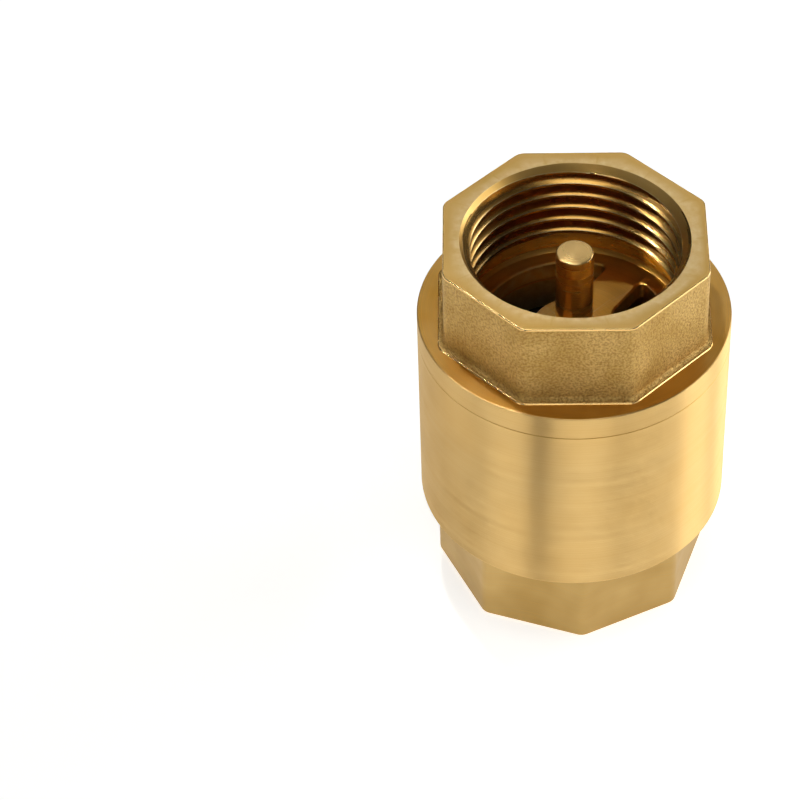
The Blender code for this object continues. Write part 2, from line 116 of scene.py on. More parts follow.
# Materials -----------------------------------------------------------------------------
class Finish:
    """A Principled material and short calls to wire its nodes."""

    def __init__(self, name, roughness, metallic):
        self.material = bpy.data.materials.new(name)
        self.material.use_nodes = True
        self.tree = self.material.node_tree
        self.shader = self.tree.nodes["Principled BSDF"]
        self.shader.inputs["Metallic"].default_value = metallic
        self.shader.inputs["Roughness"].default_value = roughness
        self.position = self.node("ShaderNodeTexCoord").outputs["Object"]

    def node(self, kind, **settings):
        """New node with its settings."""
        made = self.tree.nodes.new(kind)
        for key, value in settings.items():
            setattr(made, key, value)
        return made

    def feed(self, value, socket):
        """Link a socket's value, or set a plain one."""
        if isinstance(value, bpy.types.NodeSocket):
            self.tree.links.new(value, socket)
        else:
            socket.default_value = value

    def math(self, operation, first, second=0.0):
        """Arithmetic on one or two values."""
        made = self.node("ShaderNodeMath", operation=operation)
        self.feed(first, made.inputs[0])
        self.feed(second, made.inputs[1])
        return made.outputs[0]

    def noise(self, size, detail=2.0, stretch=None):
        """Noise whose lumps are about size metres across."""
        source = self.position
        if stretch:
            scaled = self.node("ShaderNodeVectorMath", operation='MULTIPLY')
            self.feed(source, scaled.inputs[0])
            scaled.inputs[1].default_value = stretch
            source = scaled.outputs[0]
        made = self.node("ShaderNodeTexNoise")
        self.feed(source, made.inputs["Vector"])
        made.inputs["Scale"].default_value = 1 / size
        made.inputs["Detail"].default_value = detail
        return made.outputs["Fac"]

    def lines(self, size, along):
        """One-dimensional noise along a length, for tool marks about size metres apart."""
        made = self.node("ShaderNodeTexNoise", noise_dimensions='1D')
        self.feed(along, made.inputs["W"])
        made.inputs["Scale"].default_value = 1 / size
        made.inputs["Detail"].default_value = 3.0
        return made.outputs["Fac"]

    def ramp(self, value, low, high, from_low=0.3, from_high=0.7):
        """Map a value to a range of numbers."""
        made = self.node("ShaderNodeMapRange")
        self.feed(value, made.inputs["Value"])
        made.inputs["From Min"].default_value = from_low
        made.inputs["From Max"].default_value = from_high
        made.inputs["To Min"].default_value = low
        made.inputs["To Max"].default_value = high
        return made.outputs["Result"]

    def blend(self, factor, first, second):
        """Mix two colours."""
        made = self.node("ShaderNodeMix", data_type='RGBA')
        self.feed(factor, made.inputs[0])
        for value, socket in ((first, made.inputs[6]), (second, made.inputs[7])):
            self.feed(value if isinstance(value, bpy.types.NodeSocket) else (*value, 1.0), socket)
        return made.outputs[2]

    def tool_path(self):
        """Distance that grows along any turned surface: the height plus the radius."""
        split = self.node("ShaderNodeSeparateXYZ")
        self.feed(self.position, split.inputs[0])
        across = self.math('MULTIPLY', split.outputs["X"], split.outputs["X"])
        along = self.math('MULTIPLY', split.outputs["Y"], split.outputs["Y"])
        radius = self.math('SQRT', self.math('ADD', across, along))
        return self.math('ADD', radius, split.outputs["Z"])

    def edges(self):
        """Up to one on worn convex edges, zero elsewhere; noise breaks it up."""
        wear = self.node("ShaderNodeAttribute", attribute_name="wear").outputs["Fac"]
        patchy = self.ramp(self.noise(1.2 * MM, 3.0), 0.35, 1.0)
        return self.math('MULTIPLY', self.ramp(wear, 0.0, 1.0, 0.09, 0.18), patchy)

    def bump(self, height, depth, under=None):
        """Bump of a depth in metres, on top of another one if given."""
        made = self.node("ShaderNodeBump")
        self.feed(height, made.inputs["Height"])
        made.inputs["Distance"].default_value = depth
        made.inputs["Strength"].default_value = 1.0
        if under:
            self.feed(under, made.inputs["Normal"])
        return made.outputs["Normal"]

    def finish(self, colour, roughness, normal):
        """Wire the shader and hand the material over."""
        self.feed(colour, self.shader.inputs["Base Color"])
        self.feed(roughness, self.shader.inputs["Roughness"])
        self.feed(normal, self.shader.inputs["Normal"])
        return self.material


# Colours are linear red, green and blue
BRASS_PALE = (0.90, 0.69, 0.36)
BRASS_GOLD = (0.88, 0.61, 0.26)
BRASS_WARM = (0.74, 0.46, 0.14)
BRASS_DULL = (0.76, 0.55, 0.23)
BRASS_SAND = (0.60, 0.41, 0.14)
# Darkened below the brass's own colour as painted shade, for the bottom flats and the retainer.
BRASS_MILLED_SHADED = (0.44, 0.30, 0.11)
# Deep orange: as a base colour it is painted shade on the shoulder and the thread; as a ring tint
# it marks tool rings.
BRASS_DEEP = (0.60, 0.34, 0.08)
# Saturated orange: painted shade for the inside of the sockets.
BRASS_BORE = (0.86, 0.48, 0.09)
BRASS_FACE = (0.73, 0.47, 0.15)
BRASS_COPPERY = (0.66, 0.40, 0.14)
BRASS_DARK = (0.34, 0.17, 0.04)
# Near black: painted shade for the walls of the spider's windows.
BRASS_WINDOW_SHADE = (0.05, 0.025, 0.008)
TABLE_GLOW = 0.62
ROOM_LIGHT = 0.05


def turned_brass(name, roughness, groove, anisotropy, light, deep):
    """Brass off the lathe: fine rings, a slight change of tint, and paler worn edges."""
    made = Finish(name, roughness, 1.0)
    path = made.tool_path()
    rings = made.lines(groove, path)
    wide_rings = made.lines(groove * 7, path)
    tint = made.blend(made.ramp(made.noise(9 * MM), 0.0, 0.25), light, BRASS_PALE)
    tint = made.blend(made.ramp(rings, 0.0, 0.25), tint, deep)
    tint = made.blend(made.edges(), tint, BRASS_PALE)
    rough = made.math('ADD', made.ramp(wide_rings, -0.02, 0.03),
                      made.ramp(made.noise(4 * MM), roughness - 0.02, roughness + 0.02))
    fine = made.bump(rings, 0.004 * MM)
    normal = made.bump(made.noise(14 * MM), 0.012 * MM, under=fine)
    made.shader.inputs["Anisotropic"].default_value = anisotropy
    made.shader.inputs["Anisotropic Rotation"].default_value = 0.25
    tangent = made.node("ShaderNodeTangent", direction_type='RADIAL', axis='Z')
    made.feed(tangent.outputs[0], made.shader.inputs["Tangent"])
    return made.finish(tint, rough, normal)


def blasted_brass(name, roughness):
    """Forged brass after shot blasting: a sandy grain with darker pits and rubbed edges."""
    made = Finish(name, roughness, 1.0)
    grain = made.noise(0.34 * MM, 3.0)
    fine = made.noise(0.17 * MM, 2.0)
    patches = made.noise(6 * MM, 2.0)
    tint = made.blend(made.ramp(patches, 0.0, 1.0), BRASS_SAND, BRASS_DULL)
    tint = made.blend(made.ramp(grain, 0.6, 0.0, 0.35, 0.6), tint, BRASS_DARK)
    tint = made.blend(made.edges(), tint, BRASS_PALE)
    rough = made.ramp(fine, roughness - 0.08, roughness + 0.1)
    coarse = made.bump(grain, 0.20 * MM)
    normal = made.bump(fine, 0.08 * MM, under=coarse)
    return made.finish(tint, rough, normal)


def window_shade_brass(name):
    """Brass with a dark forge skin, painted darker towards black as shade for the inside of the
    windows.
    """
    made = Finish(name, 0.55, 1.0)
    tint = made.blend(made.ramp(made.noise(1.5 * MM, 3.0), 0.0, 1.0), BRASS_WINDOW_SHADE, BRASS_DARK)
    tint = made.blend(made.math('MULTIPLY', made.edges(), 0.1), tint, BRASS_WARM)
    rough = made.ramp(made.noise(0.8 * MM), 0.5, 0.65)
    return made.finish(tint, rough, made.bump(made.noise(0.3 * MM, 3.0), 0.02 * MM))


def rubber(name):
    """Black moulded rubber with a dusty, faintly pebbled skin."""
    made = Finish(name, 0.6, 0.0)
    dust = made.ramp(made.noise(2.5 * MM, 4.0), 0.0, 1.0, 0.45, 0.8)
    tint = made.blend(dust, (0.012, 0.012, 0.013), (0.035, 0.033, 0.031))
    rough = made.ramp(made.noise(1.2 * MM), 0.5, 0.75)
    return made.finish(tint, rough, made.bump(made.noise(0.3 * MM, 3.0), 0.01 * MM))


def stainless(name):
    """Drawn or cut stainless steel with fine scratches and a cool tint."""
    made = Finish(name, 0.28, 1.0)
    scratches = made.noise(0.15 * MM, 2.0, stretch=(1.0, 1.0, 6.0))
    tint = made.blend(made.ramp(scratches, 0.0, 1.0), (0.50, 0.49, 0.47), (0.70, 0.70, 0.69))
    tint = made.blend(made.edges(), tint, (0.80, 0.80, 0.80))
    rough = made.ramp(made.noise(1.5 * MM), 0.22, 0.38)
    return made.finish(tint, rough, made.bump(scratches, 0.004 * MM))


def floor_paper(name):
    """Matte white paper on a light table."""
    made = Finish(name, 0.85, 0.0)
    made.shader.inputs["Emission Color"].default_value = (1.0, 1.0, 0.99, 1.0)
    made.shader.inputs["Emission Strength"].default_value = TABLE_GLOW
    tint = made.blend(made.noise(30 * MM, 4.0), (0.80, 0.80, 0.79), (0.82, 0.82, 0.81))
    return made.finish(tint, 0.85, made.bump(made.noise(1.5 * MM, 3.0), 0.01 * MM))


def black_card(name):
    """Black felt paper."""
    made = Finish(name, 0.9, 0.0)
    tint = made.blend(made.noise(3 * MM, 3.0), (0.015, 0.014, 0.013), (0.03, 0.028, 0.026))
    return made.finish(tint, 0.9, made.bump(made.noise(0.5 * MM, 3.0), 0.02 * MM))


MATERIALS = {
    "barrel": turned_brass("barrel_turned_brass", 0.44, 0.16 * MM, 0.95, BRASS_GOLD, BRASS_WARM),
    "machined": turned_brass("machined_brass", 0.38, 0.22 * MM, 0.1, BRASS_FACE, BRASS_WARM),
    # The shoulder under the octagon is coloured deep orange: painted shade from the octagon above
    # it.
    "shoulder": turned_brass("shoulder_brass", 0.36, 0.2 * MM, 0.2, BRASS_DEEP, BRASS_BORE),
    # Bore and thread colours are deeper than the outside brass: painted shade for the inside of
    # the sockets.
    "bore": turned_brass("bore_brass", 0.32, 0.3 * MM, 0.2, BRASS_BORE, BRASS_DEEP),
    "thread": turned_brass("thread_brass", 0.26, 0.3 * MM, 0.3, BRASS_DEEP, BRASS_COPPERY),
    # Milled finish with a darkened colour: painted shade on the bottom flats and the retainer.
    "milled": turned_brass("milled_brass_shaded", 0.46, 0.3 * MM, 0.1, BRASS_MILLED_SHADED, BRASS_DEEP),
    "blasted": blasted_brass("blasted_brass", 0.5),
    "rod": turned_brass("rod_brass", 0.26, 0.2 * MM, 0.4, BRASS_GOLD, BRASS_WARM),
    # The window walls get brass painted dark as shade.
    "window_shade": window_shade_brass("window_shade_brass"),
    "rubber": rubber("black_rubber"),
    "steel": stainless("stainless_steel"),
    "card": black_card("black_card"),
    "paper": floor_paper("studio_paper"),
}


# Shapes --------------------------------------------------------------------------------
def polygon_reach(sides, flat, rounding):
    """Reach of a regular polygon with rounded corners; a flat faces angle 0."""
    half_side = math.pi / sides
    corner_centre = (flat - rounding) / math.cos(half_side)
    flat_ends = math.atan((flat - rounding) * math.tan(half_side) / flat)

    def reach(angle):
        from_flat = abs((angle + half_side) % (2 * half_side) - half_side)
        if from_flat <= flat_ends or rounding == 0.0:
            return flat / math.cos(from_flat)
        from_corner = half_side - from_flat
        across = corner_centre * math.sin(from_corner)
        return corner_centre * math.cos(from_corner) + math.sqrt(rounding ** 2 - across ** 2)

    return reach


def ring(size, height, columns, sides=0, turn=0.0):
    """A row of points round the axis, on a circle or on a rounded polygon."""
    reach = polygon_reach(sides, size, CORNER_ROUNDING) if sides else None
    row = []
    for i in range(columns + 1):
        angle = 2 * math.pi * (i % columns) / columns
        radius = reach(angle) if reach else size
        row.append((radius * math.cos(angle + turn), radius * math.sin(angle + turn), height))
    return row


def soften(corners, steps=4):
    """Round the corners of a profile.

    A corner is (size, height, rounding, finish, sides); finish is for the stretch after it.
    """
    softened = []
    for i, (size, height, rounding, *rest) in enumerate(corners):
        here = Vector((size, height))
        if not rounding or i in (0, len(corners) - 1):
            softened.append((size, height, *rest))
            continue
        before = (Vector(corners[i - 1][:2]) - here).normalized()
        after = (Vector(corners[i + 1][:2]) - here).normalized()
        half = before.angle(after) / 2
        centre = here + (before + after).normalized() * rounding / math.sin(half)
        start = here + before * rounding / math.tan(half) - centre
        sweep = start.angle_signed(here + after * rounding / math.tan(half) - centre)
        for step in range(steps + 1):
            turned = Matrix.Rotation(-sweep * step / steps, 2) @ start
            point = centre + turned
            softened.append((point.x, point.y, *rest))
    return softened


def thread_shape(phase):
    """Depth of a rounded 55 degree thread across one pitch: 0 at its crest, 1 at its root."""
    ramp = min(max((abs(2 * phase - 1) - 1 / 6) * 1.5, 0.0), 1.0)
    eased = ramp * ramp * (3 - 2 * ramp)
    return (ramp + eased) / 2


def thread_rows(low, high, mouth, columns, turn=0.0):
    """Rows of a right-hand internal thread; each climbs a pitch, so it ends on a later row."""
    turns = round((high - low) / PITCH)
    runout = 0.5 * MM
    rows = []
    for k in range(-THREAD_ROWS, turns * THREAD_ROWS + 1):
        depth = thread_shape((k / THREAD_ROWS) % 1)
        cut_radius = THREAD_MINOR + (THREAD_MAJOR - THREAD_MINOR) * depth
        row = []
        for i in range(columns + 1):
            height = low + PITCH * (k / THREAD_ROWS + i / columns)
            height = min(max(height, low), high)
            from_mouth = abs(mouth - height)
            from_relief = (high - low) - from_mouth
            radius = max(cut_radius, MOUTH_RADIUS - from_mouth * MOUTH_STEEPNESS,
                         RELIEF_RADIUS - from_relief * (RELIEF_RADIUS - THREAD_MINOR) / runout)
            angle = 2 * math.pi * i / columns + turn
            row.append((radius * math.cos(angle), radius * math.sin(angle), height))
        rows.append(row)
    return rows


def mesh_from(shape, name, *keys):
    """Close a bmesh into a mesh whose material slots hold the finishes."""
    mesh = bpy.data.meshes.new(name)
    shape.to_mesh(mesh)
    shape.free()
    for key in keys:
        mesh.materials.append(MATERIALS[key])
    return mesh


def bridge(shape, loops):
    """Faces between closed loops of points, with both ends capped."""
    count = len(loops[0])
    for first, second in zip(loops, loops[1:]):
        for i in range(count):
            j = (i + 1) % count
            shape.faces.new((first[i], first[j], second[j], second[i]))
    shape.faces.new(loops[0])
    shape.faces.new(loops[-1][::-1])
    bmesh.ops.recalc_face_normals(shape, faces=shape.faces)


def skin(name, rows, finishes, closed=False):
    """Mesh over a chain of rows; finishes holds one material key for each row's upper band."""
    shape = bmesh.new()
    made = [[shape.verts.new(point) for point in row] for row in rows]
    following = made[1:] + made[:1] if closed else made[1:]
    keys = list(dict.fromkeys(finishes))
    for row, upper, finish in zip(made, following, finishes):
        for i in range(len(row) - 1):
            face = shape.faces.new((row[i], row[i + 1], upper[i + 1], upper[i]))
            face.material_index = keys.index(finish)
            face.smooth = True
    bmesh.ops.remove_doubles(shape, verts=shape.verts, dist=1e-7)
    bmesh.ops.recalc_face_normals(shape, faces=shape.faces)
    return mesh_from(shape, name, *keys)


def face_mouth(mesh, mouth, key):
    """Give the mouth's chamfer the finish of the face beside it."""
    mesh.materials.append(MATERIALS[key])
    slot = len(mesh.materials) - 1
    for face in mesh.polygons:
        from_mouth = abs(mouth - face.center.z)
        cone = MOUTH_RADIUS - from_mouth * MOUTH_STEEPNESS
        if from_mouth > 0 and cone > THREAD_MINOR:
            if abs(face.center.xy.length - cone) < 0.01 * MM:
                face.material_index = slot


def turned(name, corners, columns):
    """Mesh of a softened profile turned about the axis."""
    profile = soften(corners)
    rows = [ring(size, height, columns, sides) for size, height, _, sides in profile]
    return skin(name, rows, [point[2] for point in profile])


def corner(size, height, rounding=0.0, finish="rod", sides=0):
    """Profile corner; its size and rounding are in millimetres."""
    return (size * MM, height, rounding * MM, finish, sides)


def link(name, data):
    """New object in the scene."""
    piece = bpy.data.objects.new(name, data)
    bpy.context.scene.collection.objects.link(piece)
    return piece


def trimmed(points, start, end):
    """Outline points between two distances, measured from both ends of the line."""
    kept = []
    for point in points:
        if (point - points[0]).length >= start and (point - points[-1]).length >= end:
            kept.append(point)
    return kept


def arc(radius, start, end, steps):
    """Points along an arc, both ends included."""
    points = []
    for i in range(steps + 1):
        angle = start + (end - start) * i / steps
        points.append(Vector((radius * math.cos(angle), radius * math.sin(angle))))
    return points


def window_outline(arm_width, grow):
    """Outline of a window between the arms, hub and rim, with rounded corners."""
    half = arm_width / 2 - grow
    outer = WINDOW_RADIUS + grow
    inner = HUB_RADIUS - grow
    far = math.asin(half / outer)
    near = math.asin(half / inner)
    rim = arc(outer, far, math.pi - far, 96)
    hub = arc(inner, math.pi - near, near, 48)
    sides = []
    for first, last in ((rim[-1], hub[0]), (hub[-1], rim[0])):
        sides.append([first.lerp(last, i / 12) for i in range(13)])
    loops = [rim, sides[0], hub, sides[1]]
    fillet = 0.9 * MM
    outline = []
    for i, line in enumerate(loops):
        kept = trimmed(line, fillet, fillet)
        outline += kept
        following = trimmed(loops[(i + 1) % 4], fillet, fillet)
        bend = line[-1]
        for step in range(1, 6):
            t = step / 6
            bent = bend * 2 * t * (1 - t)
            outline.append(kept[-1] * (1 - t) ** 2 + bent + following[0] * t ** 2)
    return outline


def window_cutter(name, arm_width, turn, low, high):
    """Prism through one window, flared a little where it leaves each face."""
    flare = 0.22 * MM
    reach = 0.6 * MM
    levels = [(low - reach, reach + flare), (low, flare), (low + flare, 0.0),
              (high - flare, 0.0), (high, flare), (high + reach, reach + flare)]
    shape = bmesh.new()
    loops = []
    for height, grow in levels:
        loop = []
        for point in window_outline(arm_width, min(grow, 0.5 * MM)):
            x = point.x * math.cos(turn) - point.y * math.sin(turn)
            y = point.x * math.sin(turn) + point.y * math.cos(turn)
            loop.append(shape.verts.new((x, y, height)))
        loops.append(loop)
    bridge(shape, loops)
    for face in shape.faces:
        face.smooth = True
    # Window walls take the brass painted dark as shade.
    return mesh_from(shape, name, "window_shade")


def forging(name, socket, threads, outside, turn):
    """Join the socket's floor, its thread and the outside into one skin."""
    first, last = soften(socket), soften(outside)
    rows = [ring(size, height, COLUMNS, sides, turn) for size, height, _, sides in first]
    rows += threads
    rows += [ring(size, height, COLUMNS, sides, turn) for size, height, _, sides in last]
    finishes = [point[2] for point in first] + ["thread"] * len(threads)
    finishes += [point[2] for point in last]
    return link(name, skin(name, rows, finishes))


def open_spider(piece, arm, web, mouth):
    """Cut the two windows and the guide hole out of a solid web, and keep the result."""
    width, turn = arm
    low, high = web
    away = 1 if mouth > (low + high) / 2 else -1
    cutters = []
    for side in range(2):
        name = f"{piece.name}_window_{side + 1}"
        cutters.append(window_cutter(name, width, turn + side * math.pi, low, high))
    far_end = low - 4 * MM if away > 0 else high + 4 * MM
    hole = [
        corner(0.0, mouth + away * 1.0 * MM, 0, "machined"),
        corner(4.5, mouth + away * 1.0 * MM, 0, "machined"),
        corner(GUIDE_HOLE_RADIUS / MM, mouth - away * 0.4 * MM, 0.1, "machined"),
        corner(GUIDE_HOLE_RADIUS / MM, far_end, 0, "machined"),
        corner(0.0, far_end, 0, "machined"),
    ]
    cutters.append(turned(f"{piece.name}_hole", hole, 96))
    tools = []
    for mesh in cutters:
        tool = link(mesh.name, mesh)
        boolean = piece.modifiers.new(mesh.name, 'BOOLEAN')
        boolean.operation = 'DIFFERENCE'
        boolean.solver = 'EXACT'
        boolean.object = tool
        tools.append(tool)
    bpy.context.view_layer.update()
    evaluated = piece.evaluated_get(bpy.context.evaluated_depsgraph_get())
    result = bpy.data.meshes.new_from_object(evaluated)
    piece.modifiers.clear()
    piece.data = result
    for tool in tools:
        bpy.data.objects.remove(tool, do_unlink=True)


def mark_wear(mesh):
    """Store how far each point stands out from its neighbours: about 0.1 on a convex edge."""
    points = np.empty(len(mesh.vertices) * 3, dtype=np.float32)
    mesh.vertices.foreach_get("co", points)
    normals = np.empty_like(points)
    mesh.vertices.foreach_get("normal", normals)
    ends = np.empty(len(mesh.edges) * 2, dtype=np.int32)
    mesh.edges.foreach_get("vertices", ends)
    points, normals, ends = points.reshape(-1, 3), normals.reshape(-1, 3), ends.reshape(-1, 2)
    along = points[ends[:, 1]] - points[ends[:, 0]]
    along /= np.maximum(np.linalg.norm(along, axis=1, keepdims=True), 1e-9)
    total = np.zeros(len(points))
    count = np.zeros(len(points))
    for column, sign in ((0, -1), (1, 1)):
        np.add.at(total, ends[:, column], sign * (normals[ends[:, column]] * along).sum(axis=1))
        np.add.at(count, ends[:, column], 1)
    wear = mesh.attributes.new("wear", 'FLOAT', 'POINT')
    wear.data.foreach_set("value", (total / np.maximum(count, 1)).astype(np.float32))


def settle(piece, body, node):
    """Mark a finished piece's worn edges, shade it, tie it to its body and hide its CAD node."""
    mark_wear(piece.data)
    piece.data.shade_smooth()
    piece.data.set_sharp_from_angle(angle=math.radians(38))
    normals = piece.modifiers.new("weighted_normals", 'WEIGHTED_NORMAL')
    normals.keep_sharp = True
    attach(piece, body)
    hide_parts(node)


# Pieces --------------------------------------------------------------------------------
def make_body():
    """Outlet end, barrel and spring chamber, one forging."""
    relief = OUTLET_TURNS * PITCH
    socket = [
        corner(0.0, OUTLET_WEB[0], 0, "machined"),
        corner(SOCKET_END_RADIUS, OUTLET_WEB[0], 0.2, "thread"),
        corner(RELIEF_RADIUS / MM, OUTLET_WEB[0] - 0.6 * MM, 0.1, "thread"),
        corner(RELIEF_RADIUS / MM, relief, 0, "thread"),
    ]
    outside = [
        corner(MOUTH_RADIUS / MM, 0.0, 0, "machined"),
        corner(18.7, 0.0, 0.1, "machined", 8),
        corner(FLAT_REACH, 0.3 * MM, 0.15, "milled", 8),
        corner(FLAT_REACH, OUTLET_FOOT, 0.5, "blasted", 8),
        corner(22.4, OUTLET_FOOT, 0.3, "barrel"),
        corner(OUTER_RADIUS, OUTLET_FOOT + 0.6 * MM, 0.3, "barrel"),
        corner(OUTER_RADIUS, CAP_UNDERSIDE - 0.05 * MM, 0.08, "machined"),
        corner(RING_SEAT_RADIUS, CAP_UNDERSIDE - 0.05 * MM, 0.1, "machined"),
        corner(RING_SEAT_RADIUS, RING_LOW.z - ROOM, 0, "machined"),
        corner(JOINT_RADIUS, RING_LOW.z - ROOM, 0, "machined"),
        corner(JOINT_RADIUS, GASKET_HIGH.z, 0, "machined"),
        corner(CHAMBER_RADIUS, GASKET_HIGH.z - 1 * MM, 0, "machined"),
        corner(CHAMBER_RADIUS, OUTLET_WEB[1] + 4.9 * MM, 0.5, "blasted"),
        corner(14.6, OUTLET_WEB[1], 0, "blasted"),
        corner(BOSS_RADIUS, OUTLET_WEB[1], 0, "blasted"),
        corner(BOSS_RADIUS, OUTLET_WEB[1] + 1.8 * MM, 0.3, "blasted"),
        corner(0.0, OUTLET_WEB[1] + 1.8 * MM, 0, "blasted"),
    ]
    threads = thread_rows(0.0, relief, 0.0, COLUMNS, OUTLET_TURN)[::-1]
    piece = forging("body_forging", socket, threads, outside, OUTLET_TURN)
    face_mouth(piece.data, 0.0, "machined")
    open_spider(piece, OUTLET_ARM, OUTLET_WEB, OUTLET_WEB[0])
    settle(piece, "valve", "valve_body")


def make_end_cap():
    """Inlet end, rim and screwed spigot, one forging."""
    relief = LENGTH - INLET_TURNS * PITCH
    socket = [
        corner(0.0, INLET_WEB[1], 0, "bore"),
        corner(SOCKET_END_RADIUS, INLET_WEB[1], 0.2, "bore"),
        corner(RELIEF_RADIUS / MM, INLET_WEB[1] + 0.6 * MM, 0.1, "rod"),
        corner(RELIEF_RADIUS / MM, relief, 0, "thread"),
    ]
    outside = [
        corner(MOUTH_RADIUS / MM, LENGTH, 0, "machined"),
        corner(FLAT_REACH, LENGTH, 0.16, "rod", 8),
        corner(FLAT_REACH, LENGTH - 0.3 * MM, 0, "blasted", 8),
        corner(FLAT_REACH, CAP_FOOT + 0.2 * MM, 0.7, "blasted", 8),
        corner(19.8, CAP_FOOT + 0.2 * MM, 0.1, "rod", 8),
        corner(19.9, CAP_FOOT, 0, "shoulder", 8),
        corner(OUTER_RADIUS, CAP_FOOT, 0.2, "barrel"),
        corner(OUTER_RADIUS, CAP_UNDERSIDE, 0.08, "machined"),
        corner(RING_GROOVE_RADIUS, CAP_UNDERSIDE, 0, "machined"),
        corner(RING_GROOVE_RADIUS, RING_LOW.z - ROOM, 0, "machined"),
        corner(SPIGOT_RADIUS, RING_LOW.z - 0.6 * MM, 0, "machined"),
        corner(SPIGOT_RADIUS, GASKET_HIGH.z + 1.5 * MM, 0.1, "machined"),
        corner(19.4, GASKET_HIGH.z + 0.7 * MM, 0, "machined"),
        corner(16.4, GASKET_HIGH.z + 0.7 * MM, 0, "machined"),
        corner(16.0, GASKET_HIGH.z + ROOM, 0.1, "machined"),
        corner(14.8, GASKET_HIGH.z + ROOM, 0.1, "machined"),
        corner(PASSAGE_RADIUS, GASKET_HIGH.z + 0.7 * MM, 0, "machined"),
        corner(PASSAGE_RADIUS, INLET_WEB[0], 0, "blasted"),
        corner(0.0, INLET_WEB[0], 0, "blasted"),
    ]
    threads = thread_rows(relief, LENGTH, LENGTH, COLUMNS)
    piece = forging("end_cap_forging", socket, threads, outside, 0.0)
    face_mouth(piece.data, LENGTH, "machined")
    open_spider(piece, INLET_ARM, INLET_WEB, INLET_WEB[1])
    settle(piece, "valve", "end_cap")


def make_o_ring():
    """Seal of the screwed joint."""
    section = (RING_HIGH.z - RING_LOW.z) / 2
    middle = (RING_HIGH.z + RING_LOW.z) / 2
    centre = RING_HIGH.x - section
    rows = []
    for i in range(20):
        angle = 2 * math.pi * i / 20
        rows.append(ring(centre + section * math.cos(angle),
                         middle + section * math.sin(angle), 160))
    piece = link("o_ring", skin("o_ring", rows, ["rubber"] * len(rows), closed=True))
    settle(piece, "valve", "cap_o_ring")


def make_spring():
    """Closed-end compression spring; the real one shortens as the poppet opens, and this mesh
    keeps one length.
    """
    low = SPRING_LOW.z + WIRE_RADIUS
    high = SPRING_HIGH.z - WIRE_RADIUS
    end_rise = 1 * MM
    active = 4
    per_turn = 60
    sides = 14
    active_rise = (high - low - 2 * end_rise) / active
    total = (active + 2) * per_turn
    shape = bmesh.new()
    loops = []
    for i in range(total + 1):
        turns = i / per_turn
        rise = end_rise * min(turns, 1.0) + end_rise * max(turns - 1.0 - active, 0.0)
        rise += active_rise * min(max(turns - 1.0, 0.0), active)
        angle = 2 * math.pi * turns
        outward = Vector((math.cos(angle), math.sin(angle), 0.0))
        centre = outward * COIL_RADIUS + Vector((0.0, 0.0, low + rise))
        loop = []
        for side in range(sides):
            round_angle = 2 * math.pi * side / sides
            offset = outward * math.cos(round_angle) + Vector((0, 0, math.sin(round_angle)))
            loop.append(shape.verts.new(centre + offset * WIRE_RADIUS))
        loops.append(loop)
    bridge(shape, loops)
    piece = link("spring_coil", mesh_from(shape, "spring_coil", "steel"))
    settle(piece, "valve", "return_spring")
    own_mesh(piece)


def make_disc():
    """Poppet disc with its neck, spring cup and lower spindle."""
    boss = DISC_HIGH.z
    top = GASKET_LOW.z - ROOM
    bottom = SPRING_HIGH.z + ROOM
    hole_bottom = STEM_LOW.z - ROOM
    corners = [
        corner(0.0, hole_bottom),
        corner(2.8, hole_bottom),
        corner(2.8, boss, 0.15),
        corner(DISC_NECK_RADIUS, boss, 0.15),
        corner(DISC_NECK_RADIUS, top, 0.1),
        corner(DISC_RADIUS, top, 0.3),
        corner(DISC_RADIUS, bottom, 0.3),
        corner(DISC_CUP_RADIUS, bottom, 0.2),
        corner(DISC_CUP_RADIUS, bottom - 2.6 * MM, 0.3),
        corner(SPINDLE_RADIUS, bottom - 2.6 * MM, 0.2),
        corner(SPINDLE_RADIUS, DISC_LOW.z, 0.3),
        corner(0.0, DISC_LOW.z),
    ]
    piece = link("disc_turning", turned("disc_turning", corners, 192))
    settle(piece, "poppet", "poppet_disc")


def make_stem():
    """Upper guide stem, screwed into the disc."""
    corners = [
        corner(0.0, STEM_LOW.z),
        corner(SCREW_RADIUS, STEM_LOW.z, 0.25),
        corner(SCREW_RADIUS, NUT_HIGH.z + ROOM, 0.05),
        corner(SPINDLE_RADIUS, NUT_HIGH.z + ROOM, 0.05),
        corner(SPINDLE_RADIUS, STEM_HIGH.z, 0.28),
        corner(0.0, STEM_HIGH.z),
    ]
    piece = link("stem_rod", turned("stem_rod", corners, 96))
    settle(piece, "poppet", "guide_stem")


def make_flat_ring(name, node, inner, outer, finish, columns):
    """Gasket or washer with softened edges, between its CAD node's lowest and highest faces."""
    low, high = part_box(node)
    corners = [
        corner(inner, low.z, 0, finish),
        corner(inner, high.z, 0, finish),
        corner(outer, high.z, 0.25, finish),
        corner(outer, low.z, 0.25, finish),
    ]
    corners.append(corners[0])
    profile = soften(corners)[:-1]
    rows = [ring(size, height, columns) for size, height, _, _ in profile]
    piece = link(name, skin(name, rows, [finish] * len(rows), closed=True))
    settle(piece, "poppet", node)


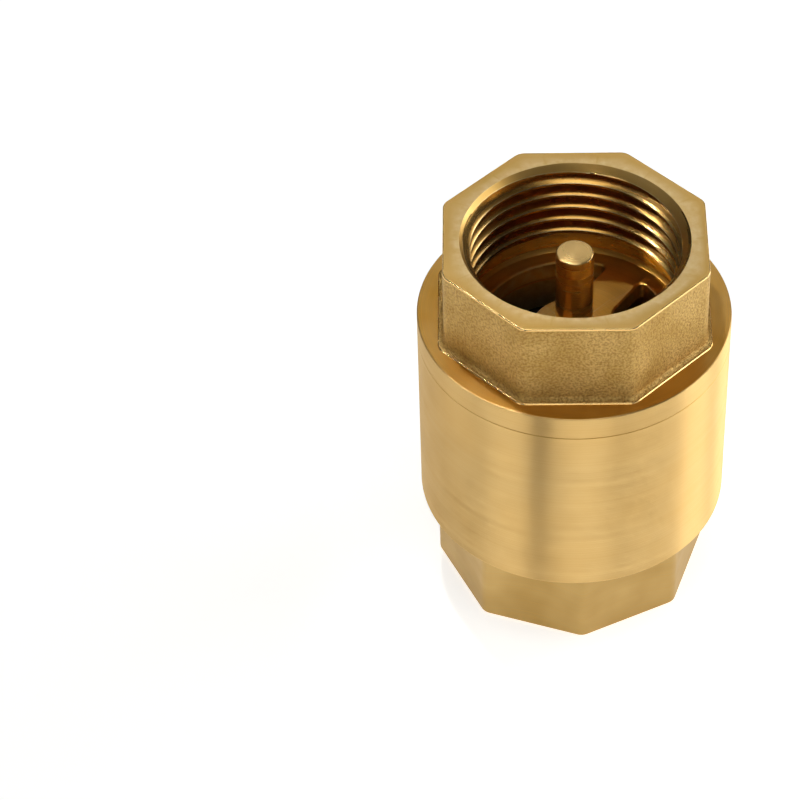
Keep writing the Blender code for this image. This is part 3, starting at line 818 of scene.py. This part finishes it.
def make_nut():
    """Thin hexagon nut, its corners turned off by a cone at both faces."""
    half_flats = 4 * MM
    face_radius = half_flats * 0.96
    cone_start = half_flats * 0.97
    cone = math.tan(math.radians(30))
    hexagon = polygon_reach(6, half_flats, 0.1 * MM)
    levels = [i / 16 for i in range(17)]
    columns = 144
    rows = [ring(SCREW_HOLE_RADIUS, NUT_LOW.z, columns),
            ring(SCREW_HOLE_RADIUS, NUT_HIGH.z, columns),
            ring(face_radius, NUT_HIGH.z, columns)]
    for level in levels:
        height = NUT_HIGH.z + (NUT_LOW.z - NUT_HIGH.z) * level
        from_face = min(NUT_HIGH.z - height, height - NUT_LOW.z)
        row = []
        for i in range(columns + 1):
            angle = 2 * math.pi * (i % columns) / columns
            radius = min(hexagon(angle), cone_start + from_face / cone)
            row.append((radius * math.cos(angle), radius * math.sin(angle), height))
        rows.append(row)
    rows.append(ring(face_radius, NUT_LOW.z, columns))
    piece = link("nut_hexagon", skin("nut_hexagon", rows, ["steel"] * len(rows), closed=True))
    settle(piece, "poppet", "lock_nut")


def make_lock_washer():
    """Split spring washer: a square-section ring with a slanted slit."""
    inner = SCREW_HOLE_RADIUS
    outer = WASHER_HIGH.x
    low, high = WASHER_LOW.z, WASHER_HIGH.z
    slit = math.radians(6)
    slant = math.radians(8)
    steps = 96
    section = ((inner, low, 0), (outer, low, 0), (outer, high, 1), (inner, high, 1))
    shape = bmesh.new()
    loops = []
    for i in range(steps + 1):
        along = slit + (2 * math.pi - 2 * slit) * i / steps
        loop = []
        for radius, height, lean in section:
            angle = along + slant * (lean - 0.5)
            x, y = radius * math.cos(angle), radius * math.sin(angle)
            loop.append(shape.verts.new((x, y, height)))
        loops.append(loop)
    bridge(shape, loops)
    piece = link("split_washer", mesh_from(shape, "split_washer", "steel"))
    settle(piece, "poppet", "lock_washer")


# Studio --------------------------------------------------------------------------------
def direction(azimuth, elevation):
    """Unit vector away from the valve; azimuth 0 is the camera's side, 90 its right."""
    a, e = math.radians(azimuth), math.radians(elevation)
    return Vector((math.sin(a) * math.cos(e), -math.cos(a) * math.cos(e), math.sin(e)))


def hang(name, light, away, place):
    """Put a lamp at a place, shining back along away."""
    lamp = link(name, light)
    lamp.location = place
    lamp.rotation_euler = away.to_track_quat('Z', 'Y').to_euler()


def softbox(name, azimuth, elevation, distance, size, power, colour=(1.0, 1.0, 1.0)):
    """Rectangular lamp aimed at the valve's middle."""
    light = bpy.data.lights.new(name, 'AREA')
    light.shape = 'RECTANGLE'
    light.size, light.size_y = size
    light.energy = power
    light.color = colour
    away = direction(azimuth, elevation)
    hang(name, light, away, Vector((0, 0, LENGTH / 2)) + away * distance)


def bore_lamp(name, azimuth, elevation, distance, power, aim, angle):
    """Narrow spot into the inlet; aim is in millimetres from the middle of its mouth."""
    light = bpy.data.lights.new(name, 'SPOT')
    light.energy = power
    light.shadow_soft_size = 0.04
    light.spot_size = math.radians(angle)
    light.spot_blend = 0.5
    away = direction(azimuth, elevation)
    hang(name, light, away, Vector((0, 0, LENGTH)) + Vector(aim) * MM + away * distance)


def flag(name, start, end, near, far):
    """Black card on the table that darkens a strip of the reflections and isn't seen itself."""
    height = 0.5 * MM
    shape = bmesh.new()
    points = []
    for azimuth, radius in ((start, near), (end, near), (end, far), (start, far)):
        angle = math.radians(azimuth)
        points.append((radius * math.sin(angle), -radius * math.cos(angle), height))
    shape.faces.new([shape.verts.new(point) for point in points])
    card = link(name, mesh_from(shape, name, "card"))
    card.visible_camera = False
    card.visible_diffuse = False
    card.visible_shadow = False


def make_studio():
    """Glowing white table, dim white surroundings, soft lamps and a card for reflections."""
    half = 3.0
    drop = -0.02 * MM
    shape = bmesh.new()
    points = [(-half, -half, drop), (half, -half, drop), (half, half, drop), (-half, half, drop)]
    shape.faces.new([shape.verts.new(point) for point in points])
    link("floor", mesh_from(shape, "floor", "paper"))
    world = bpy.data.worlds.new("studio")
    world.use_nodes = True
    backdrop = world.node_tree.nodes["Background"]
    backdrop.inputs["Color"].default_value = (1.0, 0.99, 0.97, 1.0)
    backdrop.inputs["Strength"].default_value = ROOM_LIGHT
    bpy.context.scene.world = world
    softbox("top_lamp", 0, 80, 0.8, (0.4, 0.4), 0.9)
    softbox("front_lamp", 8, 9, 0.75, (0.40, 0.22), 0.42)
    softbox("front_left_lamp", -43, 9, 0.75, (0.34, 0.22), 0.40)
    softbox("front_right_lamp", 50, 9, 0.75, (0.45, 0.22), 0.24)
    softbox("right_lamp", 84, 12, 0.7, (0.3, 0.30), 0.95)
    softbox("right_back_lamp", 118, 14, 0.7, (0.3, 0.5), 1.3, (1.0, 0.99, 0.97))
    softbox("back_lamp", 175, 42, 0.7, (0.5, 0.35), 0.25)
    bore_lamp("thread_lamp", -100, 50, 0.5, 16.0, (9, 2, 0), 3.0)
    bore_lamp("spider_lamp", -152, 67, 0.5, 15.0, (0, 0, 0), 4.0)
    bore_lamp("relief_lamp", -20, 28, 0.5, 9.0, (9, 13, -13), 1.7)
    flag("front_flag", -26, -15, 62 * MM, 500 * MM)
    bpy.context.scene.view_settings.view_transform = 'Standard'
    bpy.context.scene.view_settings.look = 'Medium High Contrast'


CAMERA_AZIMUTH = -1.94
CAMERA_ELEVATION = 44.44
CAMERA_DISTANCE = 489.5 * MM
CAMERA_TARGET = (0.0, 0.0, LENGTH - 30 * MM)
CAMERA_ROLL = 0.908
CAMERA_PAN = 3.026
CAMERA_TILT = -0.21


def make_camera():
    """Camera of the reference view: well above the valve, which stands right of the centre."""
    away = direction(CAMERA_AZIMUTH, CAMERA_ELEVATION)
    camera = bpy.data.cameras.new("camera")
    camera.lens = 147.0
    camera.sensor_width = 36.0
    camera.clip_start = 0.01
    camera.clip_end = 20.0
    piece = link("camera", camera)
    look = away.to_track_quat('Z', 'Y').to_matrix().to_4x4()
    roll = Matrix.Rotation(math.radians(CAMERA_ROLL), 4, 'Z')
    pan = Matrix.Rotation(math.radians(CAMERA_PAN), 4, 'Y')
    tilt = Matrix.Rotation(math.radians(CAMERA_TILT), 4, 'X')
    place = Matrix.Translation(Vector(CAMERA_TARGET) + away * CAMERA_DISTANCE)
    piece.matrix_world = place @ look @ roll @ pan @ tilt
    bpy.context.scene.camera = piece


make_body()
make_end_cap()
make_o_ring()
make_spring()
make_disc()
make_stem()
make_flat_ring("gasket_ring", "seat_gasket", 4.2, 16.2, "rubber", 192)
make_flat_ring("retainer_ring", "gasket_retainer", 2.8, 11.0, "milled", 192)
make_nut()
make_lock_washer()
make_studio()
make_camera()
